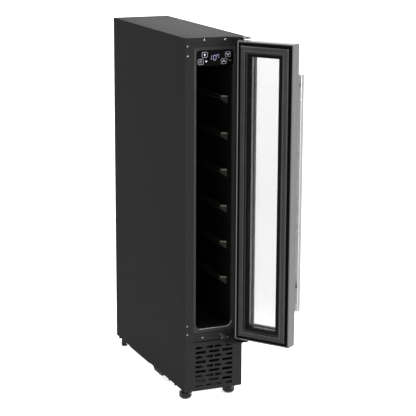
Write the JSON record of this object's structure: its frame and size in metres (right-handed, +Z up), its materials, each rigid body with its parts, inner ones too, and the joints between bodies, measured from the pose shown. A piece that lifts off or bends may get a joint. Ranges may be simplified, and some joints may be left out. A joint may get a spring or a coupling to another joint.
{
  "type": "wine cooler",
  "caption": "Slim built-in wine cooler with a hinged glass door, bar handle, sloped bottle ledges, touch panel, slotted kick grille and screw-in feet.",
  "frame": {"origin": "centre of the carcass's underside, level with the bottom edge of the side panels; the adjustable feet reach below it", "axes": "+Z up, +X to the right as seen from the front, +Y to the rear"},
  "size_m": [0.2519, 0.6308, 0.876],
  "materials": {
    "black_plastic": "matt",
    "black_rubber": "matt",
    "board_green": "solder mask",
    "clear_glass": "polished",
    "copper": "drawn",
    "dark_paint": "satin powder coat",
    "fan_plastic": "moulded",
    "fin_aluminium": "mill",
    "foam": "cut foam",
    "frame_plastic": "satin",
    "galvanised": "galvanised sheet",
    "gasket_rubber": "soft",
    "gloss_black": "gloss",
    "lamp_white": "diffuser",
    "liner_plastic": "satin",
    "pump_black": "gloss enamel",
    "spacer_aluminium": "perforated",
    "stainless": "brushed",
    "steel_screw": "plated",
    "trim_plastic": "satin"
  },
  "bodies": {
    "cabinet": {"cabinet_wrapper": "dark_paint", "lower_front_rail": "dark_paint", "flange_screws": "steel_screw", "front_grille": "dark_paint", "mouth_trim_frame": "trim_plastic", "liner": "liner_plastic", "insulation_foam": "foam", "machine_room_ceiling": "galvanised", "drain_tube": "black_plastic", "bottle_ledges_left": "liner_plastic", "bottle_ledges_right": "liner_plastic", "control_panel": "gloss_black", "control_housing": "black_plastic", "control_board": "board_green", "interior_lamp": "lamp_white", "evaporator_cover": "black_plastic", "evaporator": "fin_aluminium", "evaporator_fan_motor": "black_plastic", "condenser": "pump_black", "condenser_fan_shroud": "galvanised", "condenser_fan_motor": "black_plastic", "compressor": "pump_black", "compressor_terminal_cover": "black_plastic", "compressor_mounts": "black_rubber", "drip_tray": "black_plastic", "filter_drier": "copper", "discharge_pipe": "copper", "liquid_pipe": "copper", "power_board_box": "black_plastic", "power_board": "board_green", "power_box_lid": "black_plastic", "mains_cable_gland": "black_plastic", "base_pan": "galvanised", "foot_nuts": "steel_screw", "rear_panel": "galvanised", "rear_lower_cover": "galvanised", "top_hinge_plate": "dark_paint", "hinge_pins": "steel_screw", "bottom_hinge_bracket": "dark_paint", "hinge_washer": "black_plastic", "hinge_screws": "steel_screw"},
    "door": {"door_outer_frame": "stainless", "door_inner_frame": "frame_plastic", "door_gasket": "gasket_rubber", "inner_glass_pane": "clear_glass", "outer_glass_pane": "clear_glass", "glass_spacer_bar": "spacer_aluminium", "glass_bead": "black_rubber", "handle_bar": "stainless", "handle_posts": "stainless", "handle_screws": "steel_screw", "hinge_blocks": "black_plastic", "hinge_bushes": "black_plastic"},
    "evaporator_fan": {"evaporator_fan": "fan_plastic"},
    "condenser_fan": {"condenser_fan": "fan_plastic"},
    "foot_front_left": {"foot_front_left": "black_plastic"},
    "foot_front_right": {"foot_front_right": "black_plastic"},
    "foot_rear_left": {"foot_rear_left": "black_plastic"},
    "foot_rear_right": {"foot_rear_right": "black_plastic"}
  },
  "joints": [
    {"name": "door_hinge", "type": "hinge", "parent": "cabinet", "child": "door", "pos_m": [0.063, -0.2665, 0], "axis": [0, 0, 1], "range_deg": [-126, 5.5]},
    {"name": "evaporator_fan_spin", "type": "hinge", "parent": "cabinet", "child": "evaporator_fan", "pos_m": [0, 0.1595, 0.69], "axis": [0, 1, 0], "continuous": true},
    {"name": "condenser_fan_spin", "type": "hinge", "parent": "cabinet", "child": "condenser_fan", "pos_m": [0, -0.1435, 0.06], "axis": [0, 1, 0], "continuous": true},
    {"name": "foot_front_left_turn", "type": "hinge", "parent": "cabinet", "child": "foot_front_left", "pos_m": [-0.057, -0.2025, -0.02], "axis": [0, 0, 1], "continuous": true},
    {"name": "foot_front_right_turn", "type": "hinge", "parent": "cabinet", "child": "foot_front_right", "pos_m": [0.057, -0.2025, -0.02], "axis": [0, 0, 1], "continuous": true},
    {"name": "foot_rear_left_turn", "type": "hinge", "parent": "cabinet", "child": "foot_rear_left", "pos_m": [-0.057, 0.229, -0.02], "axis": [0, 0, 1], "continuous": true},
    {"name": "foot_rear_right_turn", "type": "hinge", "parent": "cabinet", "child": "foot_rear_right", "pos_m": [0.057, 0.229, -0.02], "axis": [0, 0, 1], "continuous": true}
  ]
}
